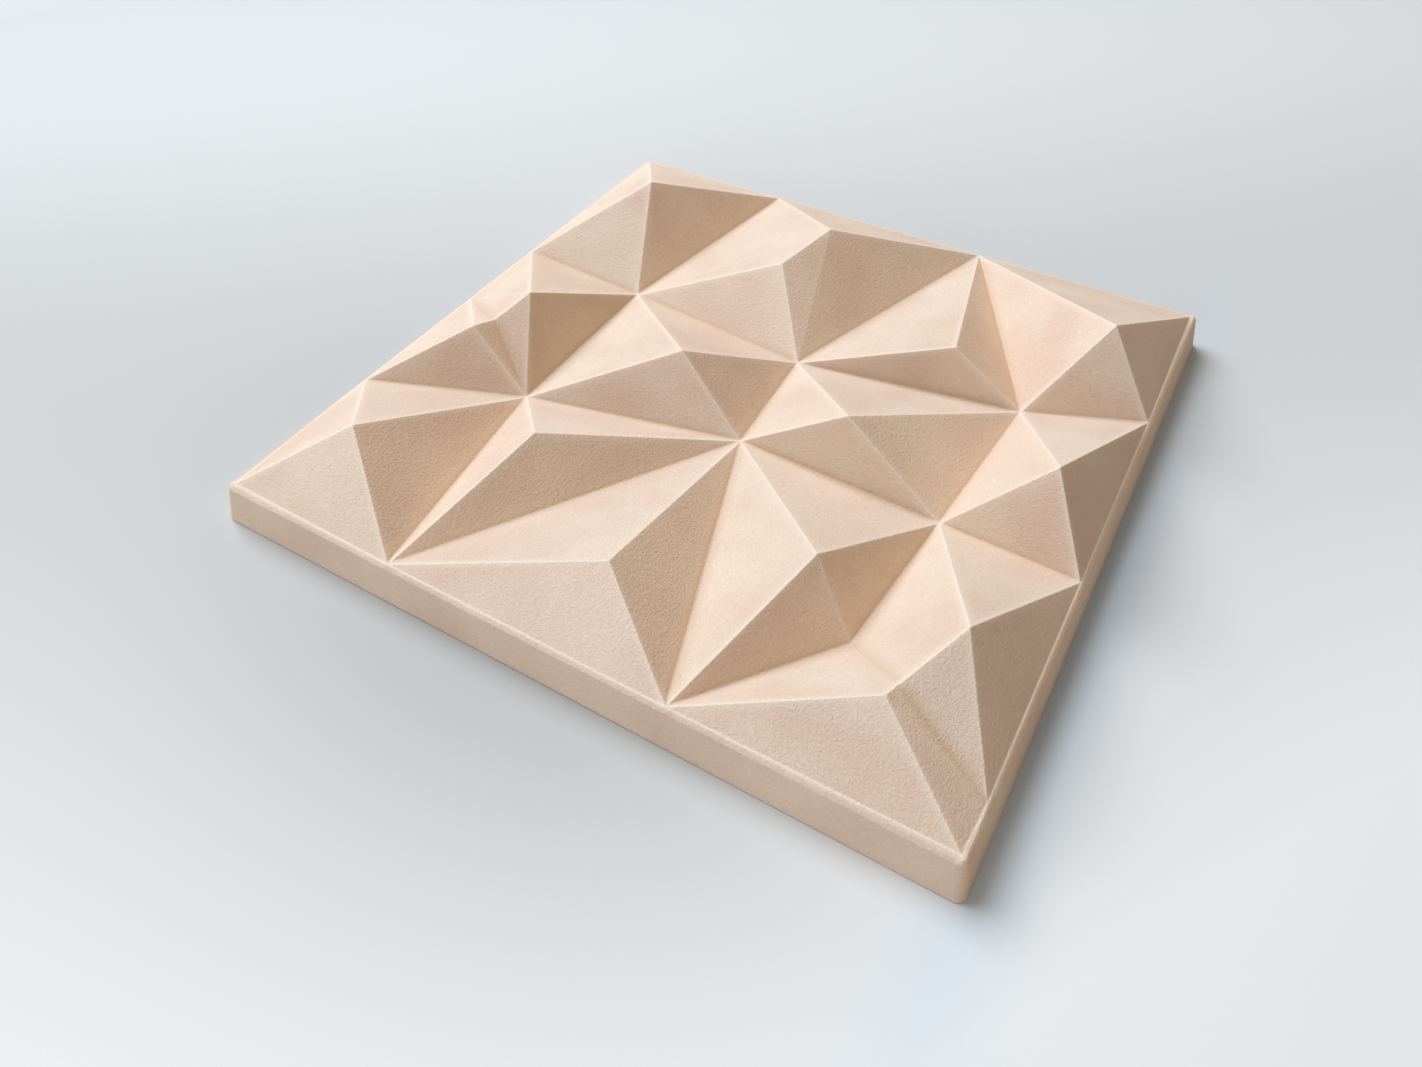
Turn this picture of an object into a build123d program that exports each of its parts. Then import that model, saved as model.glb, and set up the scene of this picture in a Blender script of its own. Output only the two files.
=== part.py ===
from build123d import *
import math
import os

# Square acoustic panel, moulded in one piece, lying on its flat back with the relief upwards.
# The origin is the centre of the back, +X runs to the right along the front side and +Z points
# out of the relief. Lengths are in millimetres and angles in degrees.

# Body of the panel
PANEL_SIDE = 600.0  # across the back, from wall to wall
RIM_HEIGHT = 33.0  # from the back to the flat rim
WALL_DRAFT = 12.0  # lean of the four walls, which lets the panel leave its mould
CORNER_RADIUS = 7.0  # slanted edges where two walls meet
ARRIS_RADIUS = 3.0  # edge between a wall and the rim
RIM_LIP = 3.0  # flat strip between that rounded edge and the first facets

# Relief. Its points are laid out in a square field, with the field's centre at 0, 0.
LAYOUT_SIDE = 575.0  # side of the square that the places below are laid out in
VALLEY_DEPTH = 16.5  # all valley points lie this far below the rim

# Places along each side of the field where creases run out into the rim, from its middle
FRONT_CREASES = {"F1": -132.0, "F2": 97.0}
BACK_CREASES = {"B1": -127.0, "B2": 90.0}
LEFT_CREASES = {"L1": -147.0, "L2": -13.0, "L3": 80.0}
RIGHT_CREASES = {"R1": -250.0, "R2": -64.0, "R3": 125.0}

# Valley points, where the creases meet in stars: X, Y
VALLEYS = {
    "V1": (-174.0, 90.0),
    "V2": (-173.0, -83.0),
    "V3": (5.0, 73.0),
    "V4": (11.0, -40.0),
    "V5": (183.0, -45.0),
    "V6": (195.0, 107.0),
    "V7": (172.0, -177.0),
}

# Peaks: X, Y and the rise above the rim
PEAKS = {
    "P1": (-212.0, 179.0, 47.0),
    "P2": (-213.0, -14.0, 34.0),
    "P3": (-226.0, -49.0, 23.0),
    "P4": (-231.0, -70.0, 28.0),
    "P5": (-213.0, -224.0, 43.0),
    "P6": (-106.0, -150.0, 26.0),
    "P7": (18.0, -231.0, 33.0),
    "P8": (-57.0, -17.0, 33.0),
    "P9": (-25.0, 190.0, 45.0),
    "P10": (-45.0, 134.0, 34.0),
    "P11": (130.0, 109.0, 24.0),
    "P12": (240.0, 148.0, 61.0),
    "P13": (93.0, -24.0, 34.0),
    "P14": (249.0, -30.0, 61.0),
    "P15": (131.0, -152.0, 26.0),
    "P16": (242.0, -176.0, 48.0),
    "P17": (215.0, -235.0, 33.0),
    "P18": (219.0, -221.0, 30.0),
}

# Facets by their corners. FL, FR, BR and BL are the corners of the field.
FACETS = (
    "FL P5 L1, FL P5 F1, P5 L1 V2, P5 V2 F1, V2 P6 F1, P6 V4 F1, V2 P6 V4, V2 P8 V4, V2 V1 P8, "
    "V1 P8 V3, P8 V3 V4, L1 P4 L2, L1 P4 V2, P4 P3 V2, P4 P3 L2, L2 P3 P2 L3, P3 P2 V2, P2 V1 V2, "
    "L3 P2 V1, L3 P1 V1, L3 BL P1, BL P1 B1, P1 V1 B1, V1 P10 P9 B1, V1 P10 V3, P10 P9 V3, "
    "P9 B2 V3, P9 B1 B2, V3 P11 B2, B2 P11 V6, V3 P11 V6, B2 P12 V6, B2 P12 BR, P12 BR R3, "
    "P12 V6 R3, V6 P14 R3, P14 R3 R2, P14 V5 R2, V6 P14 V5, V3 P13 V6, V3 P13 V4, P13 V6 V5, "
    "V4 P13 V5, V4 P15 V5, V4 P15 F2, P7 V4 F2, V4 P7 F1, F1 P7 F2, P15 V5 V7, P15 V7 F2, "
    "V7 V5 P16 P18, V7 P18 P17 F2, V5 P16 R2, P16 R2 R1, P16 P18 R1, P17 P18 R1 FR, F2 P17 FR"
)

WALL_RUN = RIM_HEIGHT * math.tan(math.radians(WALL_DRAFT))
ARRIS_RUN = ARRIS_RADIUS * math.tan(math.radians((90.0 - WALL_DRAFT) / 2.0))
FIELD_HALF = PANEL_SIDE / 2.0 - WALL_RUN - ARRIS_RUN - RIM_LIP
PANEL_TOP = RIM_HEIGHT + max(rise for _, _, rise in PEAKS.values())
OUTSIDE = PANEL_SIDE / 2.0 + RIM_LIP  # reach of the relief block, just outside the walls
BELOW = -RIM_LIP  # its underside, just below the back


def relief_points():
    """Places every named point of the relief, on the rim, in a valley or on a peak."""
    stretch = 2.0 * FIELD_HALF / LAYOUT_SIDE
    corners = {"FL": (-1, -1), "FR": (1, -1), "BR": (1, 1), "BL": (-1, 1)}
    points = {name: (x * FIELD_HALF, y * FIELD_HALF, RIM_HEIGHT) for name, (x, y) in corners.items()}
    for name, along in FRONT_CREASES.items():
        points[name] = (along * stretch, -FIELD_HALF, RIM_HEIGHT)
    for name, along in BACK_CREASES.items():
        points[name] = (along * stretch, FIELD_HALF, RIM_HEIGHT)
    for name, along in LEFT_CREASES.items():
        points[name] = (-FIELD_HALF, along * stretch, RIM_HEIGHT)
    for name, along in RIGHT_CREASES.items():
        points[name] = (FIELD_HALF, along * stretch, RIM_HEIGHT)
    for name, (x, y) in VALLEYS.items():
        points[name] = (x * stretch, y * stretch, RIM_HEIGHT - VALLEY_DEPTH)
    for name, (x, y, rise) in PEAKS.items():
        points[name] = (x * stretch, y * stretch, RIM_HEIGHT + rise)
    return points


def flat_face(corners):
    """A plane face with the given corners."""
    return Face(Wire.make_polygon(corners, close=True))


def relief_faces(points):
    """The facets, each cut into triangles so that every one is exactly plane."""
    faces = []
    for names in FACETS.split(", "):
        first, *others = [points[name] for name in names.split()]
        faces += [flat_face((first, a, b)) for a, b in zip(others, others[1:])]
    return faces


def rim_faces(points):
    """The level strips around the field, each from its creases out past the wall."""
    front = ["FL", *FRONT_CREASES, "FR"]
    right = ["FR", *RIGHT_CREASES, "BR"]
    back = ["BR", *reversed(BACK_CREASES), "BL"]
    left = ["BL", *reversed(LEFT_CREASES), "FL"]
    ring = outer_ring(RIM_HEIGHT)
    strips = zip((front, right, back, left), ring, ring[1:] + ring[:1])
    return [flat_face([points[name] for name in inner] + [end, start]) for inner, start, end in strips]


def outer_ring(height):
    """The four corners of the relief block at one height, from the front left anticlockwise."""
    return [(x * OUTSIDE, y * OUTSIDE, height) for x, y in ((-1, -1), (1, -1), (1, 1), (-1, 1))]


def block_sides():
    """The four upright sides and the underside of the relief block."""
    top, bottom = outer_ring(RIM_HEIGHT), outer_ring(BELOW)
    sides = [flat_face((bottom[i - 1], bottom[i], top[i], top[i - 1])) for i in range(4)]
    return sides + [flat_face(bottom)]


def relief_block():
    """An oversized block whose top is the level rim and the facets inside it."""
    points = relief_points()
    return Solid(Shell(relief_faces(points) + rim_faces(points) + block_sides()))


def walls():
    """The square column of the leaning walls, with its four slanted edges rounded."""
    column = extrude(Rectangle(PANEL_SIDE, PANEL_SIDE).face(), amount=PANEL_TOP + RIM_LIP, taper=WALL_DRAFT)
    slanted = [edge for edge in column.edges() if abs((edge @ 1 - edge @ 0).Z) > RIM_HEIGHT]
    return fillet(slanted, CORNER_RADIUS)


def is_rim_edge(edge):
    """Whether an edge lies between the rim and a wall, outside the field of facets."""
    middle = edge @ 0.5
    level = abs(middle.Z - RIM_HEIGHT) < RIM_LIP / 100.0
    return level and max(abs(middle.X), abs(middle.Y)) > FIELD_HALF + RIM_LIP / 2.0


def make_panel():
    """The walls filled up to the relief, with the edge between wall and rim rounded."""
    panel = walls() & relief_block()
    return fillet([edge for edge in panel.edges() if is_rim_edge(edge)], ARRIS_RADIUS)


os.makedirs("parts", exist_ok=True)
acoustic_panel = make_panel()
export_step(acoustic_panel, "parts/acoustic_panel.step")
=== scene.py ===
"""Scene for a square acoustic panel, moulded in one piece from polyester felt.

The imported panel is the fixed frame, and one piece of the scene stands for it. That piece has the
same facets, with the small roundings that a mould leaves on ridges, creases and the foot, a sloping
shoulder along the rim, a skin that is a little uneven, and a felt finish. A pale sheet of paper, a
wide soft lamp, a pale card and a camera make up the studio. Lengths are in metres, those with MM in
millimetres, and angles are in degrees.
"""

import logging
import math
from dataclasses import dataclass, field
from enum import Enum
from typing import Any

import bmesh
import bpy
import numpy as np
from mathutils import Euler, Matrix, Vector, noise


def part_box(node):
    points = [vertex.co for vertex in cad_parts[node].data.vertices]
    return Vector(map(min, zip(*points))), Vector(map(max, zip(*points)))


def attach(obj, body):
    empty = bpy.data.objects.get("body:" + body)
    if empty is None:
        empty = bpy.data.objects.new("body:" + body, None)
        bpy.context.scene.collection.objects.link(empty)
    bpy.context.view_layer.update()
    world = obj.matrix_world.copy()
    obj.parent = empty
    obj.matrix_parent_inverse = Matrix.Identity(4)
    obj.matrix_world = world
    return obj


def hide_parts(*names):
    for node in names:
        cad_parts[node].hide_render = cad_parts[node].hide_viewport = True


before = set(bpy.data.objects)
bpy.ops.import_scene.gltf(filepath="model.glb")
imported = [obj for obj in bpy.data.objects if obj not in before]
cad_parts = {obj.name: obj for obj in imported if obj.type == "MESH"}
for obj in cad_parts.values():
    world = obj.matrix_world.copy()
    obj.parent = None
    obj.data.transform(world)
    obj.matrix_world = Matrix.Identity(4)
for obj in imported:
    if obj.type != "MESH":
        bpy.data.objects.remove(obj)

MM = 0.001
WELD = 0.002 * MM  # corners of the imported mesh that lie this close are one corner
FADED = math.exp(-1.0)  # what is left of a mark at its reach, or of a hump at its width
LOG = logging.getLogger("acoustic_panel")

Tree = bpy.types.NodeTree
Socket = bpy.types.NodeSocket
Skin = bmesh.types.BMesh
Face = bmesh.types.BMFace
Line = tuple[np.ndarray, np.ndarray, float]  # two end points, and how strongly it is marked


def linear(colour: str) -> tuple[float, float, float, float]:
    """Turns an sRGB hex colour into the linear colour that a shader socket takes.

    Args:
        colour: Six hex digits after a hash sign.

    Returns:
        Linear red, green and blue, and an alpha of 1.
    """
    parts = [int(colour[i : i + 2], 16) / 255.0 for i in (1, 3, 5)]
    red, green, blue = [p / 12.92 if p <= 0.04045 else ((p + 0.055) / 1.055) ** 2.4 for p in parts]
    return red, green, blue, 1.0


def add_node(tree: Tree, kind: str, sockets: dict[Any, Any], **settings: Any) -> bpy.types.Node:
    """Adds one shader node with its settings, values and links.

    Args:
        tree: The node tree that gets the node.
        kind: Type name of the node, without its leading ShaderNode.
        sockets: Input sockets by name or number, each with a value or the output that feeds it.
        settings: The node's own properties, by name.

    Returns:
        The new node.
    """
    node = tree.nodes.new("ShaderNode" + kind)
    for name, value in settings.items():
        setattr(node, name, value)
    for name, value in sockets.items():
        if isinstance(value, Socket):
            tree.links.new(value, node.inputs[name])
        else:
            node.inputs[name].default_value = value
    return node


def empty_tree(owner: bpy.types.Material | bpy.types.World) -> Tree:
    """Gives a material or the world a node tree with nothing in it.

    Args:
        owner: The material or the world.

    Returns:
        The empty tree.
    """
    owner.use_nodes = True
    owner.node_tree.nodes.clear()
    return owner.node_tree


def hump(tree: Tree, distance: Socket, width: float, height: float | Socket) -> Socket:
    """Makes a smooth hump that is highest where the distance is nought.

    Args:
        tree: The node tree that gets the nodes.
        distance: The socket that gives the distance.
        width: The distance at which the hump has fallen to about a third.
        height: The hump's height, less than nought for a dip.

    Returns:
        The socket that gives the hump.
    """
    share = add_node(tree, "Math", {0: distance, 1: width}, operation="DIVIDE").outputs["Value"]
    square = add_node(tree, "Math", {0: share, 1: share}, operation="MULTIPLY").outputs["Value"]
    curve = add_node(tree, "Math", {0: FADED, 1: square}, operation="POWER").outputs["Value"]
    return add_node(tree, "Math", {0: curve, 1: height}, operation="MULTIPLY").outputs["Value"]


class EdgeKind(Enum):
    """How the mould leaves an edge of the panel."""

    RIDGE = "ridge"
    CREASE = "crease"
    LIP = "lip"
    FOOT = "foot"
    KEPT = "kept"

    @property
    def away(self) -> str:
        """Name of the mesh attribute that holds the distance to the nearest edge of this kind."""
        return self.value + "_away"

    @property
    def strength(self) -> str:
        """Name of the mesh attribute that holds how strongly that edge is marked, from 0 to 1."""
        return self.value + "_strength"


@dataclass(frozen=True)
class EdgeMark:
    """A change of colour along the edges of one kind: painted shade or painted highlight, partly
    pressed felt on ridges.
    """

    kind: EdgeKind
    colour: str
    reach: float  # distance at which the mark has faded to about a third


@dataclass(frozen=True)
class PressedFelt:
    """Polyester felt, needled and then pressed hot in a mould.

    The fibres lie flat and fused at the skin, so the eye sees a dry, matt, slightly leathery
    surface with a soft pale bloom where it turns away. Ridges are lighter, partly where the mould
    pressed the felt hardest and partly as a painted highlight, and the rim's inner edge has a painted
    highlight; the creases and the facets that face away from the lamp are deeper, as painted shade.
    """

    body: str = "#E4CFBD"
    deep_patch: str = "#E0C8B6"
    pale_patch: str = "#E8D5C3"
    sheen: str = "#F8EADC"
    marks: tuple[EdgeMark, ...] = (
        # painted shade: a deeper colour along the creases
        EdgeMark(EdgeKind.CREASE, "#DDC4AD", 5.0 * MM),
        # these two, wide and thin: lighter along the ridges, partly felt pressed hardest and partly
        # painted highlight
        EdgeMark(EdgeKind.RIDGE, "#EAD8C8", 4.0 * MM),
        EdgeMark(EdgeKind.RIDGE, "#F3E5D6", 0.8 * MM),
        # painted highlight along the rim's inner edge
        EdgeMark(EdgeKind.LIP, "#F3E5D6", 0.8 * MM),
    )
    fill_width: float = 5.5 * MM  # felt gathers a little along the creases
    fill_height: float = 0.7 * MM
    shade_lean: tuple[float, float, float] = (1.0, 0.4, 0.0)  # facets that face this way, mostly away from the lamp, get painted shade
    painted_shade_colour: str = "#FFEFDB"  # painted shade: multiplies the colour of those facets
    painted_shade_slope: float = 0.8  # lean of a facet, as a sine, at which that colour is reached
    patch_width: float = 70 * MM  # cloudiness of the felt as laid
    patch_range: tuple[float, float] = (0.36, 0.64)  # greys of the clouds that give the patches
    noise_layers: float = 2.0  # of ever finer noise in the clouds and tufts
    pucker_width: float = 3.2 * MM  # puckers that the hot mould presses into the skin
    pucker_height: float = 0.24 * MM
    pucker_layers: float = 3.0  # of ever finer noise in them
    pucker_mix: float = 0.6  # strength of each layer over that of the layer before
    pucker_twist: float = 0.6  # how far they are bent out of round
    fibre_width: float = 1.3 * MM  # real fibres are 0.03 mm, too fine to show, so tufts are drawn
    fibre_stretch: float = 3.0  # length of a tuft over its width
    fibre_drift: float = 8.0  # how far tufts stray from a straight line, in tuft widths
    drift_width: float = 12.0  # width of a bend in them, in tuft widths
    fibre_contrast: float = 0.1  # a tuft is up to this share lighter or darker than the felt
    fibre_range: tuple[float, float] = (0.25, 0.75)  # greys of the pattern that give that much
    fibre_height: float = 0.8 * MM  # for a full swing of the pattern, which tufts stay far below
    roughness: float = 0.92  # matt, like most felt
    ior: float = 1.57  # polyester
    gloss: float = 0.3  # less than the IOR gives, because fused fibres scatter the gloss
    bloom: float = 0.25  # stray fibres that stand off the skin
    bloom_roughness: float = 0.6

    def material(self) -> bpy.types.Material:
        """Builds the felt's material.

        Returns:
            The new material, which reads the distances to edges that the piece marks on its mesh.
        """
        felt = bpy.data.materials.new("pressed_felt_moulded")
        tree = empty_tree(felt)
        place = add_node(tree, "TexCoord", {}).outputs["Object"]
        sockets = {
            "Base Color": self.colour(tree, place),
            "Normal": self.relief(tree, place),
            "Roughness": self.roughness,
            "IOR": self.ior,
            "Specular IOR Level": self.gloss,
            "Sheen Weight": self.bloom,
            "Sheen Roughness": self.bloom_roughness,
            "Sheen Tint": linear(self.sheen),
        }
        shader = add_node(tree, "BsdfPrincipled", sockets)
        add_node(tree, "OutputMaterial", {"Surface": shader.outputs["BSDF"]})
        return felt

    def colour(self, tree: Tree, place: Socket) -> Socket:
        """Lays cloudy patches and tufts of fibre over the body colour, then edge marks of painted shade
        and painted highlight, and painted shade on facets that face away from the lamp.

        Args:
            tree: The felt's node tree.
            place: The point on the panel, in metres.

        Returns:
            The socket that gives the colour.
        """
        sockets = {"Vector": place, "Scale": 1.0 / self.patch_width, "Detail": self.noise_layers}
        cloud = add_node(tree, "TexNoise", sockets).outputs["Fac"]
        ramp = add_node(tree, "ValToRGB", {"Fac": cloud})
        stops = ramp.color_ramp.elements
        patches = (self.deep_patch, self.pale_patch)
        for stop, position, patch in zip(stops, self.patch_range, patches):
            stop.position = position
            stop.color = linear(patch)
        stops.new(sum(self.patch_range) / 2.0).color = linear(self.body)
        sockets = {
            "Value": self.fibres(tree, place),
            "From Min": self.fibre_range[0],
            "From Max": self.fibre_range[1],
            "To Min": 1.0 - self.fibre_contrast,
            "To Max": 1.0 + self.fibre_contrast,
        }
        speck = add_node(tree, "MapRange", sockets).outputs["Result"]
        sockets = {"Fac": 1.0, "Color1": ramp.outputs["Color"], "Color2": speck}
        colour = add_node(tree, "MixRGB", sockets, blend_type="MULTIPLY").outputs["Color"]
        for mark in self.marks:
            colour = self.marked(tree, colour, mark)
        return self.painted_shade_by_facing(tree, colour)

    def painted_shade_by_facing(self, tree: Tree, under: Socket) -> Socket:
        """Paints shade on facets that face away from the lamp, by deepening their colour.

        Args:
            tree: The felt's node tree.
            under: The socket that gives the colour so far.

        Returns:
            The socket that gives the deepened colour.
        """
        facing = add_node(tree, "NewGeometry", {}).outputs["Normal"]
        lean = add_node(tree, "VectorMath", {0: facing, 1: self.shade_lean}, operation="DOT_PRODUCT")
        sockets = {"Value": lean.outputs["Value"], "From Max": self.painted_shade_slope}
        share = add_node(tree, "MapRange", sockets).outputs["Result"]
        sockets = {"Fac": share, "Color1": under, "Color2": linear(self.painted_shade_colour)}
        return add_node(tree, "MixRGB", sockets, blend_type="MULTIPLY").outputs["Color"]

    def marked(self, tree: Tree, under: Socket, mark: EdgeMark) -> Socket:
        """Mixes in one edge mark of painted shade or painted highlight.

        Args:
            tree: The felt's node tree.
            under: The socket that gives the colour so far.
            mark: The mark to mix in.

        Returns:
            The socket that gives the mixed colour.
        """
        share = self.nearness(tree, mark.kind, mark.reach)
        sockets = {"Fac": share, "Color1": under, "Color2": linear(mark.colour)}
        return add_node(tree, "MixRGB", sockets).outputs["Color"]

    def nearness(self, tree: Tree, kind: EdgeKind, reach: float) -> Socket:
        """Tells how near a point is to the edges of one kind, as the piece marks it on its mesh.

        Args:
            tree: The felt's node tree.
            kind: The kind of edge.
            reach: The distance at which the result has fallen to about a third.

        Returns:
            The socket that gives the nearness, from 0 to the strength of the nearest edge.
        """
        away = add_node(tree, "Attribute", {}, attribute_name=kind.away).outputs["Fac"]
        strength = add_node(tree, "Attribute", {}, attribute_name=kind.strength).outputs["Fac"]
        return hump(tree, away, reach, strength)

    def fibres(self, tree: Tree, place: Socket) -> Socket:
        """Draws short tufts of fibre that lie along two directions and are bent out of line.

        Args:
            tree: The felt's node tree.
            place: The point on the panel, in metres.

        Returns:
            The socket that gives the tufts as a grey from 0 to 1.
        """
        bend = self.drift_width * self.fibre_width
        drift = add_node(tree, "TexNoise", {"Vector": place, "Scale": 1.0 / bend}).outputs["Color"]
        sockets = {0: drift, 1: (self.fibre_drift * self.fibre_width,) * 3, 2: place}
        bent = add_node(tree, "VectorMath", sockets, operation="MULTIPLY_ADD").outputs["Vector"]
        along = 1.0 / (self.fibre_width * self.fibre_stretch)
        across = 1.0 / self.fibre_width
        tufts = []
        for scale in ((along, across, across), (across, along, across)):
            laid = add_node(tree, "Mapping", {"Vector": bent, "Scale": scale}).outputs["Vector"]
            sockets = {"Vector": laid, "Scale": 1.0, "Detail": self.noise_layers}
            tufts.append(add_node(tree, "TexNoise", sockets).outputs["Fac"])
        both = add_node(tree, "Math", dict(enumerate(tufts)), operation="ADD").outputs["Value"]
        return add_node(tree, "Math", {0: both, 1: 0.5}, operation="MULTIPLY").outputs["Value"]

    def relief(self, tree: Tree, place: Socket) -> Socket:
        """Fills the creases a little, and raises the puckers and tufts of the skin.

        Args:
            tree: The felt's node tree.
            place: The point on the panel, in metres.

        Returns:
            The socket that gives the surface's direction.
        """
        sockets = {
            "Vector": place,
            "Scale": 1.0 / self.pucker_width,
            "Detail": self.pucker_layers,
            "Roughness": self.pucker_mix,
            "Distortion": self.pucker_twist,
        }
        puckers = add_node(tree, "TexNoise", sockets).outputs["Fac"]
        reliefs = (
            (self.nearness(tree, EdgeKind.CREASE, self.fill_width), self.fill_height),
            (puckers, self.pucker_height),
            (self.fibres(tree, place), self.fibre_height),
        )
        under = {}
        for pattern, height in reliefs:
            bump = add_node(tree, "Bump", {"Height": pattern, "Distance": height, **under})
            under = {"Normal": bump.outputs["Normal"]}
        return under["Normal"]


@dataclass(frozen=True)
class SweepPaper:
    """Matt background paper, coated off-white with a trace of blue, and graded in painted shade.

    It has hardly any gloss. The eye sees a pale sheet with painted shade and painted light fall-off
    in it: greyest in a wide band from its left to its far right and in a soft round patch under the
    panel, lightest in front, and a painted bluish shade along the panel's right wall, where the
    panel's soft shadow lies on it.
    """

    sheet: str = "#E4E8EA"
    roughness: float = 0.95
    ior: float = 1.5  # coated paper
    gloss: float = 0.2
    tone: float = 1.175  # lightness over that of the sheet's colour, before the grading
    slope: tuple[float, float, float] = (0.290, -0.205, 0.0)  # painted light fall-off: gain in tone for each metre
    slope_floor: float = -0.45  # the slope takes no more than this from the tone, far off
    # painted shade in a wide band across the sheet
    shade_band_depth: float = 0.34
    band_bearing: float = 127.0  # of the line across the band, from +X towards +Y
    band_place: float = 43 * MM  # from the panel's middle, along that line
    band_width: float = 511 * MM
    # painted shade in a soft round pool under the panel
    shade_pool_depth: float = 0.36
    shade_pool_place: tuple[float, float, float] = (26 * MM, -201 * MM, 0.0)
    patch_width: float = 287 * MM
    lightest: float = 1.14  # no paper is lighter
    painted_shadow_tint: str = "#D3E2EF"  # painted bluish shade, in one long soft patch along the panel's right wall, in its shadow
    painted_shadow_place: tuple[float, float, float] = (303 * MM, -80 * MM, 0.0)
    painted_shadow_size: tuple[float, float, float] = (30 * MM, 330 * MM, 1.0)

    def material(self) -> bpy.types.Material:
        """Builds the paper's material.

        Returns:
            The new material.
        """
        paper = bpy.data.materials.new("background_paper")
        tree = empty_tree(paper)
        sockets = {0: self.painted_shadow_tinted(tree), "Scale": self.painted_shade_tone(tree)}
        colour = add_node(tree, "VectorMath", sockets, operation="SCALE").outputs["Vector"]
        sockets = {
            "Base Color": colour,
            "Roughness": self.roughness,
            "IOR": self.ior,
            "Specular IOR Level": self.gloss,
        }
        shader = add_node(tree, "BsdfPrincipled", sockets)
        add_node(tree, "OutputMaterial", {"Surface": shader.outputs["BSDF"]})
        return paper

    def painted_shadow_tinted(self, tree: Tree) -> Socket:
        """Paints a bluish shade into the sheet in one long soft patch along the panel's right wall.

        Args:
            tree: The paper's node tree.

        Returns:
            The socket that gives the sheet's colour.
        """
        place = add_node(tree, "TexCoord", {}).outputs["Object"]
        sockets = {0: place, 1: self.painted_shadow_place}
        offset = add_node(tree, "VectorMath", sockets, operation="SUBTRACT").outputs["Vector"]
        sockets = {0: offset, 1: self.painted_shadow_size}
        scaled = add_node(tree, "VectorMath", sockets, operation="DIVIDE").outputs["Vector"]
        away = add_node(tree, "VectorMath", {0: scaled}, operation="LENGTH").outputs["Value"]
        sockets = {
            "Fac": hump(tree, away, 1.0, 1.0),
            "Color1": linear(self.sheet),
            "Color2": linear(self.painted_shadow_tint),
        }
        return add_node(tree, "MixRGB", sockets).outputs["Color"]

    def painted_shade_tone(self, tree: Tree) -> Socket:
        """Works out the paper's tone from place to place, with painted light fall-off and painted
        shade.

        Args:
            tree: The paper's node tree.

        Returns:
            The socket that gives the tone.
        """
        place = add_node(tree, "TexCoord", {}).outputs["Object"]
        slope = add_node(tree, "VectorMath", {0: place, 1: self.slope}, operation="DOT_PRODUCT")
        sockets = {0: slope.outputs["Value"], 1: self.slope_floor}
        rise = add_node(tree, "Math", sockets, operation="MAXIMUM").outputs["Value"]
        bearing = math.radians(self.band_bearing)
        line = (math.cos(bearing), math.sin(bearing), 0.0)
        along = add_node(tree, "VectorMath", {0: place, 1: line}, operation="DOT_PRODUCT")
        sockets = {0: along.outputs["Value"], 1: self.band_place}
        beside = add_node(tree, "Math", sockets, operation="SUBTRACT").outputs["Value"]
        # painted shade in a wide band
        band = hump(tree, beside, self.band_width, -self.shade_band_depth)
        # painted shade in a round pool under the panel
        sockets = {0: place, 1: self.shade_pool_place}
        away = add_node(tree, "VectorMath", sockets, operation="DISTANCE").outputs["Value"]
        patch = hump(tree, away, self.patch_width, -self.shade_pool_depth)
        tone = self.tone
        for part in (rise, band, patch):
            tone = add_node(tree, "Math", {0: part, 1: tone}, operation="ADD").outputs["Value"]
        limited = add_node(tree, "Math", {0: tone, 1: self.lightest}, operation="MINIMUM")
        return limited.outputs["Value"]


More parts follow.
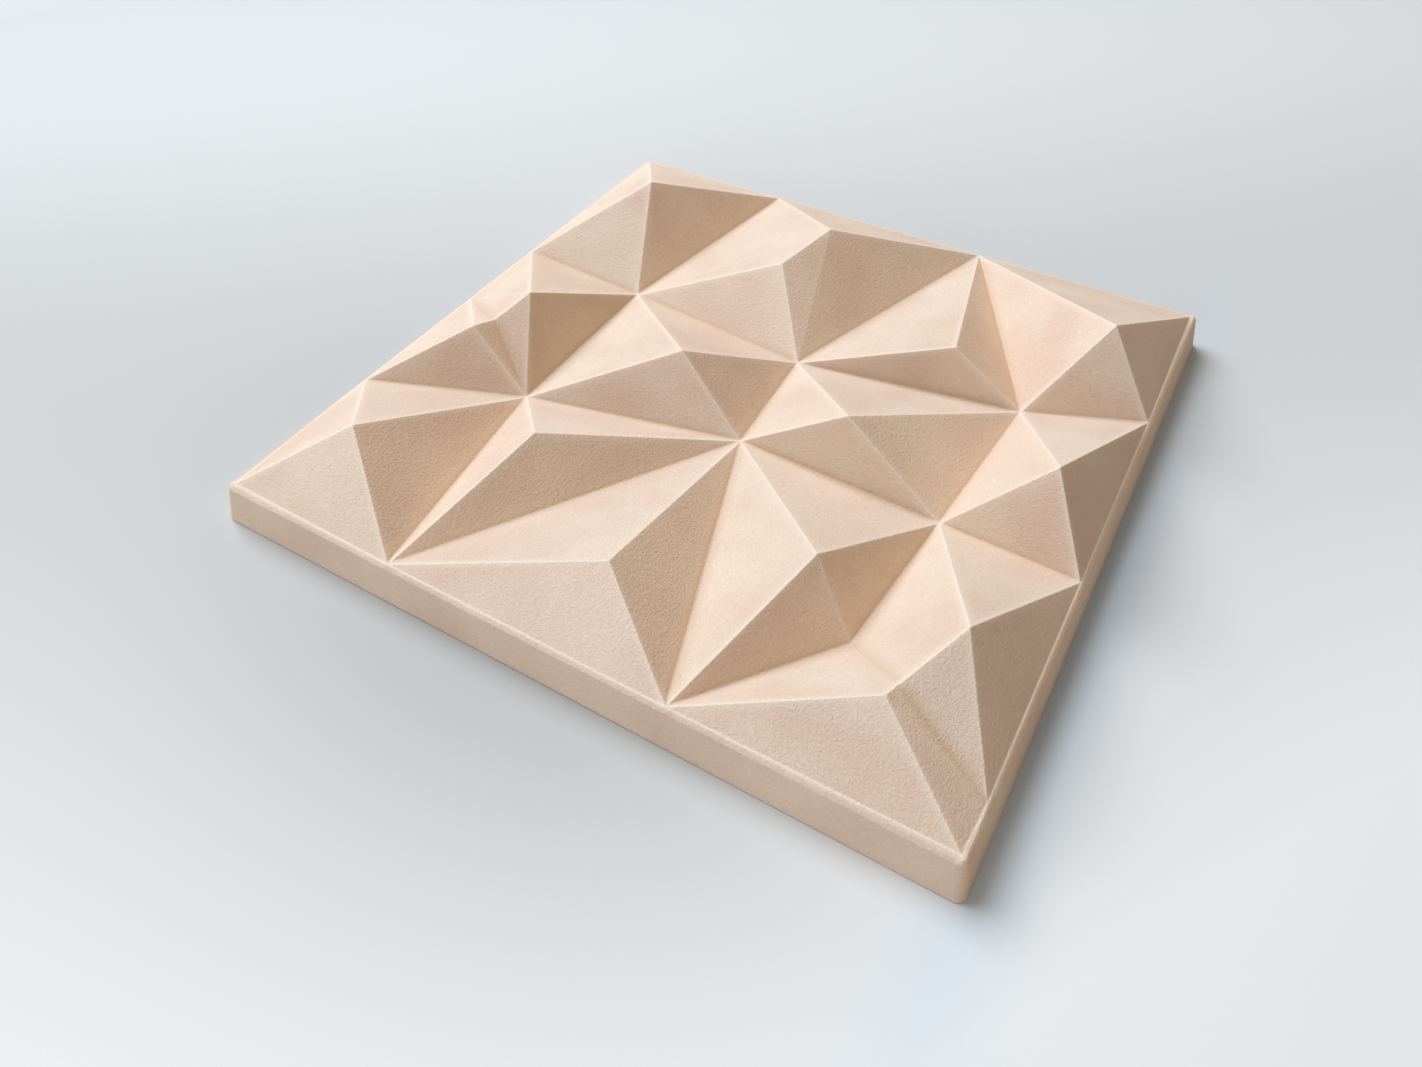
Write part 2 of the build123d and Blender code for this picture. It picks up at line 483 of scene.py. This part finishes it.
@dataclass
class PanelMoulding:
    """The whole panel: relief, rim, four leaning walls and flat back, in one skin."""

    node: str = "acoustic_panel"
    body: str = "root"
    slot: str = "pressed_felt"
    rim_height: float = 33 * MM
    packed_border: float = 12 * MM  # seen from above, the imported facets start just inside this
    widening: float = 2.0 * MM  # the outer facets are carried this far out, over the flat lip
    border: float = 9.7 * MM  # seen from above, the walls and their rounded top edge
    lip_zone: float = 4 * MM  # the rim's inner edge lies this near to that border
    shoulder: float = 4.35 * MM  # from the rim's inner edge out to the wall, and as far down
    shoulder_power: float = 1.3  # 2 makes that shoulder a quarter circle, and 1 a flat slope
    shoulder_rows: int = 4  # rows of cells across the inner half of that shoulder
    ridge_round: float = 0.7 * MM  # from a ridge's sharp line to where its rounding starts
    crease_round: float = 1.4 * MM
    lip_round: float = 0.6 * MM  # along the inner edge of the rim
    foot_round: float = 1.2 * MM
    round_steps: int = 4  # faces across a rounding
    flat_angle: float = 0.2  # facets that meet at less than this are one facet
    least_angle: float = 3.0  # edges that turn by less than this stay as they are
    full_angle: float = 20.0  # edges that turn by this or more are marked in full
    facing_back: float = -0.9  # faces whose direction has less than this along Z are the back
    cell: float = 5 * MM  # the skin is divided this finely, so that it can be uneven
    unevenness: float = 0.2 * MM
    wave_lengths: tuple[float, ...] = (90 * MM, 28 * MM)  # of that unevenness
    low: Vector = field(init=False)
    high: Vector = field(init=False)

    def __post_init__(self) -> None:
        """Takes the panel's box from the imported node."""
        self.low, self.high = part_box(self.node)

    def build(self, finish: PressedFelt) -> bpy.types.Object:
        """Makes the panel's piece, dresses it and hands it to the frame.

        Args:
            finish: The felt that the panel is pressed from.

        Returns:
            The finished piece.
        """
        facets = self.facets()
        marked = (EdgeKind.RIDGE, EdgeKind.CREASE, EdgeKind.LIP)
        lines = {kind: self.lines(facets, kind) for kind in marked}
        rim = max(max(end[0], end[1]) for _, end, _ in lines[EdgeKind.LIP])
        skin = self.rounded(facets)
        self.divide(skin, rim)
        self.drape(skin, rim)
        self.press_in(skin)
        mesh = bpy.data.meshes.new("panel_moulding")
        skin.to_mesh(mesh)
        skin.free()
        mesh.polygons.foreach_set("use_smooth", [True] * len(mesh.polygons))
        for kind, edges in lines.items():
            self.mark(mesh, kind, edges)
        piece = bpy.data.objects.new("panel_moulding", mesh)
        bpy.context.scene.collection.objects.link(piece)
        even = piece.modifiers.new("even_shading", "WEIGHTED_NORMAL")
        even.use_face_influence = True
        mesh.materials.append(finish.material())
        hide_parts(self.node)
        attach(piece, self.body)
        LOG.info("%s: %d faces, stands for %s", piece.name, len(mesh.polygons), self.node)
        return piece

    def facets(self) -> Skin:
        """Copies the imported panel's skin, with one face for each facet.

        Returns:
            The sharp skin, its outer facets carried out over the lip.
        """
        skin = bmesh.new()
        skin.from_mesh(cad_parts[self.node].data)
        bmesh.ops.remove_doubles(skin, verts=skin.verts[:], dist=WELD)
        flat = math.radians(self.flat_angle)
        inner = [edge for edge in skin.edges if abs(edge.calc_face_angle_signed()) < flat]
        bmesh.ops.dissolve_edges(skin, edges=inner, use_verts=False)
        spare = [corner for corner in skin.verts if len(corner.link_edges) == 2]
        bmesh.ops.dissolve_verts(skin, verts=spare)
        self.widen(skin)
        return skin

    def widen(self, skin: Skin) -> None:
        """Carries the outer facets out over the lip, and leaves the four corners of the field.

        Args:
            skin: The sharp skin.
        """
        half = self.high.x - self.packed_border
        level = [corner for corner in skin.verts if abs(corner.co.z - self.rim_height) < WELD]
        inner = [corner for corner in level if max(abs(corner.co.x), abs(corner.co.y)) < half]
        outermost = max(max(abs(corner.co.x), abs(corner.co.y)) for corner in inner)
        for corner in inner:
            axes = [axis for axis in range(2) if abs(corner.co[axis]) > outermost - WELD]
            if len(axes) == 1:
                corner.co[axes[0]] += math.copysign(self.widening, corner.co[axes[0]])

    def kind_of(self, edge: bmesh.types.BMEdge) -> EdgeKind:
        """Tells how the mould leaves an edge.

        Args:
            edge: An edge of the sharp skin.

        Returns:
            The edge's kind, which is KEPT for all that lies in the walls.
        """
        ends = [corner.co for corner in edge.verts]
        angle = math.degrees(edge.calc_face_angle_signed())
        floor = self.low.z + WELD
        if max(end.z for end in ends) < floor:
            return EdgeKind.FOOT
        reach = self.high.x - self.border
        inside = all(max(abs(end.x), abs(end.y)) < reach and end.z > floor for end in ends)
        if not inside or abs(angle) < self.least_angle:
            return EdgeKind.KEPT
        if any(min(abs(end[axis]) for end in ends) > reach - self.lip_zone for axis in range(2)):
            return EdgeKind.LIP
        return EdgeKind.RIDGE if angle > 0 else EdgeKind.CREASE

    def lines(self, skin: Skin, kind: EdgeKind) -> list[Line]:
        """Lists the edges of one kind.

        Args:
            skin: The sharp skin.
            kind: The kind of edge.

        Returns:
            Two end points for each edge, and how strongly it is marked, from 0 to 1.
        """
        found = []
        for edge in skin.edges:
            if self.kind_of(edge) is kind:
                start, end = [np.array(corner.co) for corner in edge.verts]
                share = abs(math.degrees(edge.calc_face_angle_signed())) / self.full_angle
                found.append((start, end, min(1.0, share)))
        return found

    def rounded(self, skin: Skin) -> Skin:
        """Rounds the ridges, creases and foot, each by its own amount.

        Args:
            skin: The sharp skin, which is used up.

        Returns:
            The rounded skin.
        """
        widths = {
            EdgeKind.RIDGE: self.ridge_round,
            EdgeKind.CREASE: self.crease_round,
            EdgeKind.LIP: self.lip_round,
            EdgeKind.FOOT: self.foot_round,
            EdgeKind.KEPT: 0.0,
        }
        widest = max(widths.values())
        share = skin.edges.layers.float.new("bevel_weight_edge")
        for edge in skin.edges:
            edge[share] = widths[self.kind_of(edge)] / widest
        mesh = bpy.data.meshes.new("sharp_skin")
        skin.to_mesh(mesh)
        skin.free()
        draft = bpy.data.objects.new("sharp_skin", mesh)
        bpy.context.scene.collection.objects.link(draft)
        bevel = draft.modifiers.new("mould_radius", "BEVEL")
        bevel.limit_method = "WEIGHT"
        bevel.width = widest
        bevel.segments = self.round_steps
        bevel.use_clamp_overlap = False
        bevel.face_strength_mode = "FSTR_ALL"
        finished = draft.evaluated_get(bpy.context.evaluated_depsgraph_get())
        result = bmesh.new()
        result.from_mesh(finished.to_mesh())
        finished.to_mesh_clear()
        bpy.data.objects.remove(draft)
        return result

    def divide(self, skin: Skin, rim: float) -> None:
        """Cuts the walls and the relief into cells, finer ones on the rim, but not the back.

        Args:
            skin: The rounded skin.
            rim: Distance from the panel's middle to the rim's inner edge.
        """
        faces = [face for face in skin.faces if face.normal.z > self.facing_back]
        steps = range(1, self.shoulder_rows)
        rows = [rim + self.shoulder * step / self.shoulder_rows / 2 for step in steps]
        for axis in range(2):
            cells = round((self.high[axis] - self.low[axis]) / self.cell)
            planes = [self.low[axis] + (step + 0.5) * self.cell for step in range(cells)]
            planes += rows + [-row for row in rows]
            faces = self.cut(skin, faces, axis, sorted(planes))

    def cut(self, skin: Skin, faces: list[Face], axis: int, planes: list[float]) -> list[Face]:
        """Cuts faces along planes, the middle one first, so that each later cut meets fewer faces.

        Args:
            skin: The skin that holds the faces.
            faces: The faces to cut.
            axis: 0 for planes across X and 1 for planes across Y.
            planes: The places of the planes along the axis, in rising order.

        Returns:
            The faces that the given ones are now.
        """
        if not planes or not faces:
            return faces
        middle = len(planes) // 2
        across = Vector([float(i == axis) for i in range(3)])
        edges = {edge for face in faces for edge in face.edges}
        place = across * planes[middle]
        parts = faces + list(edges)
        made = bmesh.ops.bisect_plane(skin, geom=parts, dist=WELD, plane_co=place, plane_no=across)
        pieces = [item for item in made["geom"] if isinstance(item, Face)]
        sides = {True: [], False: []}
        for piece in pieces:
            sides[piece.calc_center_median()[axis] < planes[middle]].append(piece)
        below = self.cut(skin, sides[True], axis, planes[:middle])
        return below + self.cut(skin, sides[False], axis, planes[middle + 1 :])

    def drape(self, skin: Skin, rim: float) -> None:
        """Pulls the rim in to one soft sloping shoulder, from its inner edge down to the wall.

        Args:
            skin: The divided skin.
            rim: Distance from the panel's middle to the rim's inner edge.
        """
        level = self.rim_height - self.shoulder
        for corner in skin.verts:
            inner = Vector([max(-rim, min(rim, corner.co[axis])) for axis in range(2)] + [level])
            spoke = corner.co - inner
            out = math.hypot(spoke.x, spoke.y)
            if out > WELD and spoke.z > 0.0:
                powers = out**self.shoulder_power + spoke.z**self.shoulder_power
                reach = powers ** (1.0 / self.shoulder_power)
                corner.co = inner + spoke * min(1.0, self.shoulder / reach)

    def press_in(self, skin: Skin) -> None:
        """Presses the skin in by a smooth amount that differs from place to place.

        Args:
            skin: The draped skin.
        """
        skin.normal_update()
        moves = {}
        for corner in skin.verts:
            if corner.co.z > self.low.z + self.foot_round:
                waves = [noise.noise(corner.co / length) * length for length in self.wave_lengths]
                depth = 0.5 - 0.5 * sum(waves) / sum(self.wave_lengths)
                moves[corner] = corner.normal * depth * self.unevenness
        for corner, move in moves.items():
            corner.co -= move

    def mark(self, mesh: bpy.types.Mesh, kind: EdgeKind, lines: list[Line]) -> None:
        """Marks how far each point of the skin is from the nearest edge of one kind.

        Args:
            mesh: The finished mesh.
            kind: The kind of edge.
            lines: The edges' end points and strengths.
        """
        points = np.empty(len(mesh.vertices) * 3, np.float32)
        mesh.vertices.foreach_get("co", points)
        points = points.reshape(-1, 3)
        nearest = np.full(len(points), np.inf, np.float32)
        strengths = np.zeros(len(points), np.float32)
        for start, end, strength in lines:
            along = end - start
            part = np.clip((points - start) @ along / (along @ along), 0.0, 1.0)
            away = np.linalg.norm(points - start - part[:, None] * along, axis=1)
            closer = away < nearest
            nearest[closer] = away[closer]
            strengths[closer] = strength
        for name, values in ((kind.away, nearest), (kind.strength, strengths)):
            layer = mesh.attributes.new(name, "FLOAT", "POINT")
            layer.data.foreach_set("value", values.astype(np.float32))


@dataclass(frozen=True)
class SoftLight:
    """A round cloth or card that gives soft light and faces the panel's middle."""

    name: str
    bearing: float  # from +X towards +Y
    elevation: float
    width: float
    power: float
    colour: str
    distance: float = 4.5

    def hang(self) -> bpy.types.Object:
        """Hangs the light.

        Returns:
            The light's object.
        """
        light = bpy.data.lights.new(self.name, "AREA")
        light.shape = "DISK"
        light.size = self.width
        light.energy = self.power
        light.color = linear(self.colour)[:3]
        lamp = bpy.data.objects.new(self.name, light)
        rise = math.radians(self.elevation)
        bearing = math.radians(self.bearing)
        level = math.cos(rise)
        away = Vector((level * math.cos(bearing), level * math.sin(bearing), math.sin(rise)))
        lamp.location = away * self.distance
        lamp.rotation_euler = away.to_track_quat("Z", "Y").to_euler()
        bpy.context.scene.collection.objects.link(lamp)
        return lamp


@dataclass
class Studio:
    """The sheet of paper that the panel lies on, and the light of the room."""

    sheet_side: float = 7.0
    lights: tuple[SoftLight, ...] = (
        SoftLight("left_lamp", bearing=165.0, elevation=50.0, width=3.6, power=246.0, colour="#F3F7FC"),
        SoftLight("front_card", bearing=270.0, elevation=12.0, width=2.4, power=43.0, colour="#FFF7EE"),
    )
    room_colour: str = "#FFF2E4"
    room_strength: float = 0.235
    backdrop_colour: str = "#E8ECEF"  # shows in reflections and where the sheet ends

    def build(self, paper: SweepPaper) -> None:
        """Lays the sheet, hangs the lights and fills the room with light.

        Args:
            paper: The paper of the sheet.
        """
        self.sheet(paper)
        for light in self.lights:
            light.hang()
        self.room()
        LOG.info("studio: sheet, %d lights and room light", len(self.lights))

    def sheet(self, paper: SweepPaper) -> bpy.types.Object:
        """Makes the level sheet, with its top at the height of the panel's back.

        Args:
            paper: The paper of the sheet.

        Returns:
            The sheet's object.
        """
        half = self.sheet_side / 2
        corners = [(x * half, y * half, 0.0) for x, y in ((-1, -1), (1, -1), (1, 1), (-1, 1))]
        mesh = bpy.data.meshes.new("paper_sheet")
        mesh.from_pydata(corners, [], [(0, 1, 2, 3)])
        mesh.materials.append(paper.material())
        sheet = bpy.data.objects.new("paper_sheet", mesh)
        bpy.context.scene.collection.objects.link(sheet)
        return sheet

    def room(self) -> None:
        """Lights the scene evenly from all round, and shows the backdrop where the room is seen."""
        world = bpy.data.worlds.new("room")
        tree = empty_tree(world)
        glow = {"Color": linear(self.room_colour), "Strength": self.room_strength}
        light = add_node(tree, "Background", glow).outputs["Background"]
        tone = {"Color": linear(self.backdrop_colour), "Strength": 1.0}
        backdrop = add_node(tree, "Background", tone).outputs["Background"]
        path = add_node(tree, "LightPath", {})
        seen = path.outputs["Is Camera Ray"]
        for ray in ("Is Glossy Ray", "Is Transmission Ray"):
            both = {0: seen, 1: path.outputs[ray]}
            seen = add_node(tree, "Math", both, operation="MAXIMUM").outputs["Value"]
        mix = add_node(tree, "MixShader", {0: seen, 1: light, 2: backdrop})
        add_node(tree, "OutputWorld", {"Surface": mix.outputs["Shader"]})
        bpy.context.scene.world = world


@dataclass
class PanelCamera:
    """A camera that looks down from the panel's front right, fitted to its outline in the photo."""

    place: tuple[float, float, float] = (0.2835, -0.5460, 0.5432)
    turn: tuple[float, float, float] = (41.97, 0.35, 30.38)
    lens_mm: float = 24.28
    sensor_mm: float = 36.0
    nearest: float = 10 * MM  # nothing nearer than this is seen

    def build(self) -> bpy.types.Object:
        """Sets up the camera and makes it the scene's.

        Returns:
            The camera's object.
        """
        lens = bpy.data.cameras.new("panel_camera")
        lens.lens = self.lens_mm
        lens.sensor_width = self.sensor_mm
        lens.clip_start = self.nearest
        camera = bpy.data.objects.new("panel_camera", lens)
        camera.location = self.place
        camera.rotation_euler = Euler([math.radians(angle) for angle in self.turn])
        bpy.context.scene.collection.objects.link(camera)
        bpy.context.scene.camera = camera
        LOG.info("panel_camera: %.2f mm lens", self.lens_mm)
        return camera


def main() -> None:
    """Builds the studio, the camera and the panel in order."""
    logging.basicConfig(level=logging.INFO, format="%(message)s")
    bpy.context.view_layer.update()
    bpy.context.scene.view_settings.view_transform = "Standard"
    Studio().build(SweepPaper())
    PanelCamera().build()
    PanelMoulding().build(PressedFelt())


if __name__ == "__main__":
    main()
